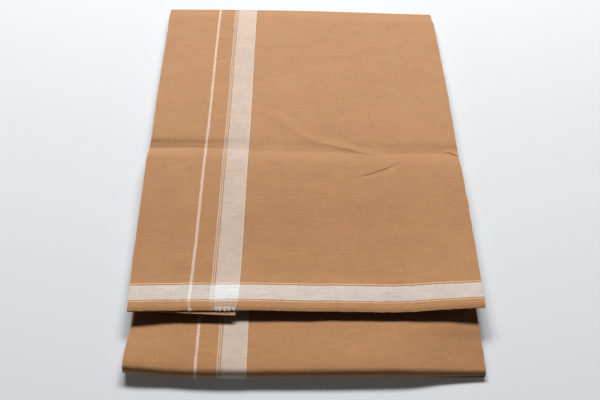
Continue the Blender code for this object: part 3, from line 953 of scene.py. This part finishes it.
def build_flap():
    columns = 176
    P, D, X, RUN = lay(flap_rows, main_shape(columns, flap_second), 60)
    R, C = X.shape
    U = 206.0 + (X - X[:, 12:13])
    cols_in = pick(C, 7, list(range(0, 14)) + list(range(C - 15, C)))
    rows_in = pick(R, 4, list(range(R - 22, R)) + [1, 2, 3])
    thing = shell("flap_cloth", P, D, U, RUN, rows_in, cols_in, flap_cotton)
    return thing, P, X, RUN


def build_strip():
    columns = 84
    P, D, X, RUN = lay(flap_rows, strip_shape(columns, end_pull), 60)
    R, C = X.shape
    ys = np.array([[row_at(k, at, x) for x in X[i:i + 1]][0] for i, (k, at) in enumerate(flap_rows)])
    sel = np.array([edge_lines(k, ys[i], 60)[2] for i, (k, at) in enumerate(flap_rows)])
    left = np.array([edge_lines(k, ys[i], 60)[0] for i, (k, at) in enumerate(flap_rows)])
    pull = np.array([end_pull(k, at, ys[i]) for i, (k, at) in enumerate(flap_rows)])
    U = warp_place(X, ys, left, sel, pull)
    # under the fold the cloth runs on
    for j in range(9):
        U[:, j] = U[:, 13] + np.linalg.norm(P[:, 13] - P[:, 9], axis=1) + (9 - j) * 2.0
    cols_in = pick(C, 6, list(range(0, 16)) + [C - 2])
    rows_in = pick(R, 4, list(range(R - 22, R)) + [1, 2, 3])
    thing = shell("flap_turnover_cloth", P, D, U, RUN, rows_in, cols_in, strip_cotton)
    return thing, P, X, RUN, U


def build_lower():
    columns = 120
    P, D, X, RUN = lay(lower_rows, main_shape(columns, no_second), 80)
    R, C = X.shape
    U = 206.0 + (X - X[:, 12:13])
    V = RUN + 452.0
    cols_in = pick(C, 7, list(range(0, 14)) + list(range(C - 15, C)))
    rows_in = pick(R, 5, list(range(118, 154)))
    room = np.ones(R)
    room[120:] = 4.0
    thing = shell("lower_cloth", P, D, U, V, rows_in, cols_in, lower_cotton, row_room=room)
    return thing


def build_lower_strip():
    columns = 70
    P, D, X, RUN = lay(lower_rows, strip_shape(columns, no_pull), 80)
    R, C = X.shape
    U = X[:, -1:] - X
    U = U * 44.5 / 43.9
    V = RUN + 452.0
    cols_in = pick(C, 6, list(range(0, 16)) + [C - 2])
    rows_in = pick(R, 5, list(range(118, 154)))
    room = np.ones(R)
    room[120:] = 4.0
    thing = shell("lower_turnover_cloth", P, D, U, V, rows_in, cols_in, lower_strip_cotton,
                  row_room=room)
    return thing


def lip_front(x):
    """The second ply's cut end, out past the flap's from the left fold to its selvedge."""
    return read(ACROSS, "x", "lip", x) + 0.10 * wobble(x, 57, 3, 11, 8) + 0.12 * wobble(x, 58, 16, 50)


def build_lip():
    """The strip's second ply."""
    ys = [lip_front] + [between(lip_front, offset(cut_line, 14.0), t)
                        for t in (0.06, 0.14, 0.24, 0.36, 0.5, 0.66, 0.82, 1.0)]
    ys += [offset(cut_line, d) for d in (20, 30, 45, 65, 90, 115)]
    rows = [("top", f) for f in ys]
    columns = 110

    def shape(left, right, sel, kind, at, y):
        n = len(left)
        if n == 1:
            left, right, sel, y = (np.full(columns, e[0]) for e in (left, right, sel, y))
        x = left + 1.5 + (sel - 1.9 - left - 1.5) * np.linspace(0, 1, columns)
        ahead = cut_line(x) + 13.0 - at(x)
        droop = 0.85 * ease(ahead / 16.0)
        depth = PLY + 0.05 - STEP_UP + 0.05 + droop
        return x, depth, np.zeros(columns), np.ones(columns)

    P, D, X, RUN = lay(rows, shape, 60)
    R, C = X.shape
    U = X[:, -1:] - X
    V = RUN - 0.0
    thing = shell("second_ply_cloth", P, D, U, V, pick(R, 2, [1]), pick(C, 6, []), second_cotton)
    return thing


# =============================================================================
# The hidden plies: the cloth's own path through the packet, as one folded band
# =============================================================================
def split_height(x, y):
    """Height of the joint between the upper and the lower packet."""
    t = ease((y + 190) / 130)
    low = low_height(x) + lower_relief(x, np.minimum(y, -185.0)) * ease((-150 - y) / 40)
    back = ease((y - 120) / 110)
    mid = 0.5 * flap_top(x, y)
    half = back_height(x) / 2
    return low * (1 - t) + (mid * (1 - back) + half * back) * t


def band_point(s, y, x):
    """A place in the packet at level s: 1 on the flap, 0 between the packets and -1
    on the underside."""
    top = flap_top(x, y) + relief(x, y) * 0.85
    mid = split_height(x, y)
    bottom = corner_lift(x, y)
    return np.where(s >= 0, mid + s * (top - mid), bottom + (1 + s) * (mid - bottom))


def build_hidden():
    # the run of the band: (kind, level, place)
    def straight(level, y0, y1, size=6.0):
        n = max(2, int(abs(y1 - y0) / size))
        return [("run", level, y0 + (y1 - y0) * i / n, np.sign(y1 - y0)) for i in range(n + 1)]

    def back_turn(level, n=9):
        # from level over the back to its mirror
        return [("back", level, a, 0) for a in np.linspace(0, 180, n + 2)[1:-1]]

    FRONT1, END_B = -182.2, -186.2
    path = []
    path += straight(-0.125, -176, 236)
    path += back_turn(-0.125)
    path += straight(0.125, 236, FRONT1 + 1.0)
    path += [("fold", 0.25, a, 1) for a in np.linspace(0, 180, 9)[1:-1]]
    path += straight(0.375, FRONT1 + 1.0, 236)
    path += back_turn(0.375)
    path += straight(-0.375, 236, -240)
    path += [("nose", 0.25, a, 0) for a in np.linspace(0, 180, 11)[1:-1]]
    path += straight(-0.625, -240, 236)
    path += back_turn(-0.625)
    path += straight(0.625, 236, END_B)

    across = np.concatenate([[0.0, 0.04, 0.12], np.linspace(0.2, 0.8, 7), [0.88, 0.96, 1.0]])
    rounds = np.radians(np.linspace(-90, 90, 9)[1:-1])
    n_a, n_r = len(across), len(rounds)
    ring = 2 * n_a + 2 * n_r
    points, cloth = [], []
    run = 0.0
    last = None

    def centre(item, x):
        kind, level, at, sign = item
        if kind == "run":
            y = np.minimum(at + 0 * x, back_centre(x) - 0.2)
            front = front_centre(x) + 0.6
            y = np.maximum(y, front) if level < 0 else y
            z = band_point(level, y, x)
            return y, z, np.zeros_like(x), np.ones_like(x) * sign
        if kind == "back":
            r = back_height(x) / 2 * abs(level)
            a = math.radians(at) if level > 0 else math.radians(180 - at)
            y = back_centre(x) + r * math.sin(a)
            z = back_height(x) / 2 + r * math.cos(a)
            sgn = 1.0 if level > 0 else -1.0
            return y, z, sgn * np.sin(a) + 0 * x, sgn * np.cos(a) + 0 * x
        if kind == "fold":
            y0 = FRONT1 + 1.0 + 0 * x
            low, high = band_point(0.125, y0, x), band_point(0.375, y0, x)
            r = (high - low) / 2
            a = math.radians(at)
            # from the lower level round the front to the upper one
            y = y0 - r * math.sin(a)
            z = (low + high) / 2 - r * math.cos(a)
            return y, z, math.sin(a) + 0 * x, math.cos(a) + 0 * x
        y0 = front_centre(x) + 0.6
        high, low = band_point(-0.375, y0, x), band_point(-0.625, y0, x)
        r = (high - low) / 2
        a = math.radians(at)
        y = y0 - r * math.sin(a)
        z = (low + high) / 2 + r * math.cos(a)
        return y, z, -math.sin(a) + 0 * x, math.cos(a) + 0 * x

    for k, item in enumerate(path):
        kind, level, at, sign = item
        y_mid = float(centre(item, np.array([0.0]))[0][0])
        upper = (kind == "run" and level > 0) or kind == "fold"
        low_rows = UNDER
        lf = read(FLAP, "y", "left", y_mid) * 1.0
        rf = read(FLAP, "y", "right", y_mid) * 1.0
        lu = read(LOWER, "y", "left", y_mid) if y_mid < -180 else read(UNDER, "y", "left", y_mid)
        ru = read(LOWER, "y", "right", y_mid) if y_mid < -180 else read(UNDER, "y", "right", y_mid)
        if y_mid >= -180:
            t = ease((y_mid + 180) / 60)
            lu = (1 - t) * read(LOWER, "y", "left", -180.0) + t * lu
            ru = (1 - t) * read(LOWER, "y", "right", -180.0) + t * ru
        mix = 0.5 + 0.5 * np.clip(level * (2.6 if kind == "run" else 1), -1, 1)
        mix = {"nose": 0.0, "fold": 0.82}.get(kind, mix)
        left, right = lu + (lf - lu) * mix, ru + (rf - ru) * mix
        seed = int(round(level * 16)) + 200
        yy = np.array([y_mid])
        left = float(left) + 1.15 + 0.55 * wobble(yy, seed, 22, 120)[0] + 0.9 * math.sin(seed * 2.1)
        right = float(right) - 1.15 - 0.55 * wobble(yy, seed + 40, 22, 120)[0] - 0.9 * math.sin(seed * 1.7)
        # thickness: four plies and the air between them
        probe = np.array([0.0])
        if kind == "run":
            y1 = np.array([y_mid])
            gap = band_point(level + 0.125, y1, probe) - band_point(level - 0.125, y1, probe)
        elif kind == "back":
            gap = back_height(probe) / 8
        else:
            gap = np.array([1.5]) if kind == "fold" else low_height(probe) / 4
        t = float(np.clip(0.80 * gap[0], 0.9, 1.75))
        xs = left + t / 2 + (right - left - t) * across
        top_x, bottom_x = xs, xs[::-1]
        rx = right - t / 2 + t / 2 * np.cos(rounds[::-1])
        lx = left + t / 2 - t / 2 * np.cos(rounds)
        x = np.concatenate([top_x, rx, bottom_x, lx])
        out = np.concatenate([np.full(n_a, 0.5), 0.5 * np.sin(rounds[::-1]), np.full(n_a, -0.5),
                              0.5 * np.sin(rounds)]) * t
        y, z, ny, nz = centre(item, x)
        pos = np.stack([x, y + out * ny, z + out * nz], -1)
        points.append(pos)
        here = np.array([y_mid, float(centre(item, np.array([0.0]))[1][0])])
        if last is not None:
            run += float(np.linalg.norm(here - last))
        last = here
        sel = -56.0
        u = np.where(x < sel, sel - x, 206 + x - sel)
        u = np.where(out < 0, 240 + x * 0.5, u)
        cloth.append(np.stack([u, np.full(ring, 900.0 + run), np.zeros(ring)], -1))
    pts = np.array(points)
    R = len(pts)
    ids = np.arange(R * ring).reshape(R, ring)
    nxt = np.roll(ids, -1, axis=1)
    a, b, c, d = ids[:-1], nxt[:-1], nxt[1:], ids[1:]
    f = np.stack([a, b, c, d], -1).reshape(-1, 4)
    faces = f.tolist()
    us = np.arange(ring) / ring
    lengths = np.concatenate([[0], np.cumsum(np.linalg.norm(np.diff(pts[:, 3], axis=0), axis=1))])
    lengths /= lengths[-1]
    # the map: round the ring across it, and the band's length down it
    grid_u, grid_v = np.meshgrid(0.01 + 0.98 * us, 0.01 + 0.97 * lengths)
    uv_of = np.stack([grid_u, grid_v], -1).reshape(-1, 2)
    uv = uv_of[f]
    wrap = uv[..., 0].max(axis=1) - uv[..., 0].min(axis=1) > 0.5
    fix = uv[wrap]
    fix[..., 0] = np.where(fix[..., 0] < 0.5, 0.995, fix[..., 0])
    uv[wrap] = fix
    uvs = [uv.reshape(-1, 2)]
    for end, flip in ((0, True), (R - 1, False)):
        ring_ids = ids[end]
        top, right = ring_ids[:n_a], ring_ids[n_a:n_a + n_r]
        bottom, left = ring_ids[n_a + n_r:2 * n_a + n_r], ring_ids[2 * n_a + n_r:]
        for k in range(n_a - 1):
            q = [top[k], top[k + 1], bottom[n_a - 2 - k], bottom[n_a - 1 - k]]
            q = q if not flip else q[::-1]
            faces.append([int(i) for i in q])
            uvs.append(np.array([[0.985 + 0.003 * (j % 2), 0.99 + 0.003 * (j // 2)] for j in range(4)]))
        q = [top[-1], *right, bottom[0]]
        q = q if not flip else q[::-1]
        faces.append([int(i) for i in q])
        uvs.append(np.array([[0.985 + 0.0005 * j, 0.992] for j in range(len(q))]))
        q = [bottom[-1], *left, top[0]]
        q = q if not flip else q[::-1]
        faces.append([int(i) for i in q])
        uvs.append(np.array([[0.985 + 0.0005 * j, 0.994] for j in range(len(q))]))
    thing = make_mesh("inner_layers", pts.reshape(-1, 3), faces,
                      {"cloth": np.array(cloth).reshape(-1, 3)}, inner_cotton, np.concatenate(uvs))
    mesh = thing.data
    import bmesh
    bm = bmesh.new()
    bm.from_mesh(mesh)
    bmesh.ops.recalc_face_normals(bm, faces=bm.faces)
    bm.to_mesh(mesh)
    bm.free()
    return thing, run


flap, flap_P, flap_X, flap_V = build_flap()
strip, strip_P, strip_X, strip_V, strip_U = build_strip()
lip = build_lip()
lower = build_lower()
lower_strip = build_lower_strip()
hidden, hidden_run = build_hidden()
print("inner band runs", round(hidden_run), "mm")


# ---- the plies that end under the flap's cut end ------------------------------
def build_end_plies():
    """Two more plies of the flap's own four, which show only at the cut end."""
    made = []
    for number, (recess, down_left, down_right, seed) in enumerate(
            ((0.7, 0.86, 0.46, 71), (1.5, 1.22, 0.86, 75))):
        def front(x, recess=recess, seed=seed):
            return cut_line(x) + recess + 0.2 * wobble(x, seed, 5, 30, 8)
        ys = [front] + [between(front, offset(cut_line, 14.0), t) for t in (0.15, 0.35, 0.6, 0.85)]
        ys += [offset(cut_line, d) for d in (14, 22, 34, 50)]
        rows = [("top", f) for f in ys]
        columns = 60

        def shape(left, right, sel, kind, at, y):
            if len(left) == 1:
                left, right, sel, y = (np.full(columns, e[0]) for e in (left, right, sel, y))
            x = left + 2.0 + (right - 1.6 - left - 2.0) * np.linspace(0, 1, columns)
            t = ease((x - sel + 3) / 5)
            spread = 0.25 * (number + 1) * ease((cut_line(x) + 12 - at(x)) / 14)
            depth = down_left + (down_right - down_left) * t + spread
            return x, depth, np.zeros(columns), np.ones(columns)

        P, D, X, RUN = lay(rows, shape, 60)
        R, C = X.shape
        thing = shell(f"flap_inner_ply_{number + 1}", P, D, 300 + X, RUN, pick(R, 2, [1]),
                      pick(C, 4, []), flap_cotton, thick=0.28)
        made.append(thing)
    return made


end_plies = build_end_plies()


# ---- frayed threads -----------------------------------------------------------
def thread_mesh(name, threads, material, sides=5):
    """Thin tapered tubes along lists of points. Each thread is (points, radius)."""
    verts, faces, cloth = [], [], []
    for number, (pts, radius) in enumerate(threads):
        pts = np.asarray(pts, float)
        n = len(pts)
        tangent = np.gradient(pts, axis=0)
        tangent /= np.linalg.norm(tangent, axis=1)[:, None] + 1e-9
        ref = np.array([0.0, 0.0, 1.0])
        side = np.cross(tangent, ref)
        side /= np.linalg.norm(side, axis=1)[:, None] + 1e-9
        up = np.cross(side, tangent)
        base = len(verts)
        for i in range(n):
            taper = 1.0 - 0.55 * (i / (n - 1)) ** 2
            for k in range(sides):
                a = 2 * math.pi * k / sides
                verts.append(pts[i] + radius * taper * (math.cos(a) * side[i] + math.sin(a) * up[i]))
                cloth.append((number * 3.1, i * 1.3, k * 0.4))
        for i in range(n - 1):
            for k in range(sides):
                j = (k + 1) % sides
                faces.append((base + i * sides + k, base + i * sides + j,
                              base + (i + 1) * sides + j, base + (i + 1) * sides + k))
        faces.append(tuple(base + k for k in range(sides))[::-1])
        faces.append(tuple(base + (n - 1) * sides + k for k in range(sides)))
    thing = make_mesh(name, verts, faces, {"cloth": cloth}, material)
    return thing


def flap_point(x, ahead, lift, strip_side):
    """A point lift above the cloth, ahead of the cut end by ahead (behind if negative)."""
    x = np.atleast_1d(np.asarray(x, float))
    y = cut_line(x) - ahead
    ref = np.stack([x, y, flap_top(x, y)], -1)
    p = toward_eye(ref, relief(x, y))
    p[:, 2] += lift + (STEP_UP if strip_side else 0.0)
    return p[0]


def build_fringe():
    r = np.random.default_rng(404)
    white, brown = [], []
    sel = float(edge_lines("top", np.array([-190.0]), 60)[2][0])
    # the white warp yarns of the wide band: drawn together in small tufts
    tufts = [(-3.6, 2.0), (-7.4, 2.6), (-11.6, 2.4), (-15.6, 2.6), (-19.0, 1.6)]
    for centre_x, spread in tufts:
        for _ in range(23):
            x0 = sel + centre_x + r.normal(0, spread * 0.62)
            x1 = sel + centre_x + (x0 - sel - centre_x) * 0.42 + r.normal(0, 0.4)
            reach = r.uniform(0.1, 1.5) - 0.35 * abs(centre_x + 11) / 6
            begin = r.uniform(-3.8, -1.9) + 0.05 * (centre_x + 11) ** 2 / 6
            pts = []
            curl = r.uniform(0.02, 0.24)
            for t in np.linspace(0, 1, 7):
                x = x0 + (x1 - x0) * ease(t) + 0.25 * math.sin(t * 5 + x0) * t
                ahead = begin + (reach - begin) * t
                lift = 0.08 + curl * math.sin(math.pi * 0.62 * t) * 0.75
                pts.append(flap_point(x, ahead, lift, True))
            white.append((pts, r.uniform(0.13, 0.20)))
    # the thin line's few yarns
    thin_x = sel - 42.3
    for _ in range(7):
        x0 = thin_x + r.uniform(-1.1, 1.1)
        reach = r.uniform(0.5, 1.5)
        pts = [flap_point(x0 + r.normal(0, 0.1) * t, -1.5 + (reach + 1.5) * t,
                          0.10 + 0.25 * math.sin(math.pi * t) - 0.35 * t * t, True)
               for t in np.linspace(0, 1, 5)]
        white.append((pts, r.uniform(0.12, 0.17)))
    # ochre threads, short and sparse
    left = float(edge_lines("top", np.array([-190.0]), 60)[0][0])
    right = float(edge_lines("top", np.array([-190.0]), 60)[1][0])
    x = left + 1.5
    while x < right - 1.0:
        on_strip = x < sel - 2.8
        if sel - 22 < x < sel - 2:
            x += 1.0
            continue
        reach = r.uniform(0.15, 0.7) if r.random() < 0.9 else r.uniform(0.8, 2.0)
        bend = r.normal(0, 0.5)
        pts = []
        for t in np.linspace(0, 1, 4):
            pts.append(flap_point(x + bend * t * reach, -0.6 + (reach + 0.6) * t,
                                  -0.10 - 0.30 * t * t * r.uniform(0.2, 1), on_strip))
        brown.append((pts, r.uniform(0.07, 0.12)))
        x += r.uniform(0.7, 2.4)
    # a few longer stray ones
    for sx, length, turn in ((-13.0, 4.2, 1.2), (-6.0, 3.0, -0.8), (148.0, 4.5, -1.6),
                             (151.0, 3.0, 1.0), (62.0, 2.6, 0.7), (-128.0, 2.4, -0.6)):
        pts = []
        for t in np.linspace(0, 1, 7):
            pts.append(flap_point(sx + turn * t + 0.5 * math.sin(4 * t), -0.8 + length * 0.55 * t,
                                  -0.12 - 0.9 * t * t, sx < sel))
        brown.append((pts, 0.10))
    return (thread_mesh("border_fringe", white, white_yarn),
            thread_mesh("cut_end_threads", brown, brown_yarn, sides=4))


fringe, stray = build_fringe()

# =============================================================================
# Riding and replacing
# =============================================================================
for thing in (flap, strip, lip, lower, lower_strip, hidden, fringe, stray, *end_plies):
    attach(thing, "root")
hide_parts("flap_main")
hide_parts("flap_turnover")
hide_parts("second_ply_lip")
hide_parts("lower_wrap")
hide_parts("lower_turnover")
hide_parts("hidden_plies")

# =============================================================================
# Floor, light and camera
# =============================================================================
def floor():
    n, size = 48, 2.2
    xs = np.linspace(-size, size, n)
    gx, gy = np.meshgrid(xs, xs)
    v = np.stack([gx, gy, np.full_like(gx, -0.0002)], -1).reshape(-1, 3)
    ids = np.arange(n * n).reshape(n, n)
    f = np.stack([ids[:-1, :-1], ids[:-1, 1:], ids[1:, 1:], ids[1:, :-1]], -1).reshape(-1, 4)
    mesh = bpy.data.meshes.new("floor")
    mesh.from_pydata(v.tolist(), [], f.tolist())
    g = Graph("floor_paper")
    at = g.node("ShaderNodeTexCoord")
    n1 = g.noise(at.outputs["Object"], 3.0, 3.0)
    place = g.node("ShaderNodeSeparateXYZ")
    g.put(place.inputs[0], at.outputs["Object"])
    # painted light: the floor's colour gets lighter toward the front, making up for part of the lamps' falloff
    tone = g.add(g.smooth(place.outputs[1], 0.45, -0.40, 0.0, 0.8), g.mul(n1, 0.2))
    g.put(g.shader.inputs["Base Color"],
          g.blend(tone, (0.628, 0.650, 0.668, 1), (0.682, 0.716, 0.746, 1)))
    g.shader.inputs["Roughness"].default_value = 0.75
    g.shader.inputs["Specular IOR Level"].default_value = 0.2
    # painted light: the floor glows faintly, which lifts the shadows on it
    g.shader.inputs["Emission Color"].default_value = (0.95, 0.97, 1.0, 1)
    g.shader.inputs["Emission Strength"].default_value = 0.04
    mesh.materials.append(g.material)
    thing = bpy.data.objects.new("floor", mesh)
    bpy.context.scene.collection.objects.link(thing)
    return thing


floor()
scene = bpy.context.scene


def area(name, where, target, size_x, size_y, watts, colour, spread=math.pi):
    light = bpy.data.lights.new(name, "AREA")
    light.shape = "RECTANGLE"
    light.size, light.size_y = size_x, size_y
    light.energy = watts
    light.color = colour
    light.spread = spread
    thing = bpy.data.objects.new(name, light)
    bpy.context.scene.collection.objects.link(thing)
    from mathutils import Vector
    thing.location = where
    aim = Vector(target) - Vector(where)
    thing.rotation_euler = aim.to_track_quat("-Z", "Y").to_euler()
    return thing


area("key_left", (-0.59, 1.456, 1.687), (0.0, 0.0, 0.0), 0.88, 0.475, 25.6, (1.0, 0.985, 0.97))
area("key_middle", (0.0, 1.57, 1.687), (0.0, 0.0, 0.0), 0.88, 0.475, 29.5, (1.0, 0.985, 0.97))
area("key_right", (0.59, 1.456, 1.687), (0.0, 0.0, 0.0), 0.88, 0.475, 27.0, (1.0, 0.985, 0.97))

world = bpy.data.worlds.new("studio")
scene.world = world
world.use_nodes = True
back = world.node_tree.nodes["Background"]
back.inputs["Color"].default_value = (0.93, 0.97, 1.0, 1)
back.inputs["Strength"].default_value = 0.03
path = world.node_tree.nodes.new("ShaderNodeLightPath")
pale = world.node_tree.nodes.new("ShaderNodeBackground")
pale.inputs["Color"].default_value = (0.80, 0.83, 0.85, 1)
pale.inputs["Strength"].default_value = 1.0
choose = world.node_tree.nodes.new("ShaderNodeMixShader")
out = world.node_tree.nodes["World Output"]
world.node_tree.links.new(path.outputs["Is Camera Ray"], choose.inputs[0])
world.node_tree.links.new(back.outputs[0], choose.inputs[1])
world.node_tree.links.new(pale.outputs[0], choose.inputs[2])
world.node_tree.links.new(choose.outputs[0], out.inputs["Surface"])

lens = bpy.data.cameras.new("camera")
lens.lens = 50.0
lens.sensor_width = 36.0
lens.clip_start, lens.clip_end = 0.01, 50
camera = bpy.data.objects.new("camera", lens)
scene.collection.objects.link(camera)
camera.location = (-0.00905, -0.5832, 0.6551)
camera.rotation_euler = (math.radians(39.2486), 0.0, math.radians(-0.5655))
scene.camera = camera
scene.view_settings.view_transform = "Standard"
scene.view_settings.look = "None"
